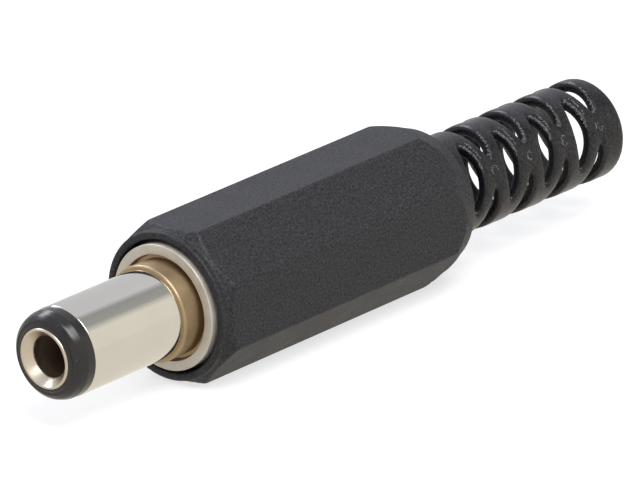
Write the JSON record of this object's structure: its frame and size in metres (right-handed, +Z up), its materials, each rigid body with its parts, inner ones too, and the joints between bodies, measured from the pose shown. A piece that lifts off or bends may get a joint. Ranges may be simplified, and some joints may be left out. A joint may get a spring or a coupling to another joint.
{
  "type": "dc barrel plug",
  "caption": "Straight barrel power plug with a turned metal body, a round centre contact and a screw-on octagonal plastic cover ending in a slotted bend relief.",
  "frame": {"origin": "on the plug's axis at its shoulder, the front face of the neck, where the exposed length of the outer contact ends", "axes": "+X runs along the axis to the cable end and -X to the tip; +Z is up, so the flat that the cover lies on faces -Z"},
  "size_m": [0.0481, 0.0094, 0.0094],
  "materials": {
    "cover_plastic": "matte",
    "insulator": "gloss",
    "nickel": "polished",
    "plated_collar": "satin",
    "washer_board": "matte",
    "tinned_brass": "satin"
  },
  "bodies": {
    "plug_front": {"collar": "plated_collar", "barrel": "nickel", "nose_insulator": "insulator", "centre_contact": "nickel", "insulating_washer": "washer_board", "earth_terminal": "tinned_brass", "centre_terminal": "tinned_brass"},
    "cover": {"handle": "cover_plastic"}
  },
  "joints": [
    {"name": "handle_off", "type": "slide", "parent": "plug_front", "child": "cover", "axis": [1, 0, 0], "range_m": [0, 0.024]}
  ]
}
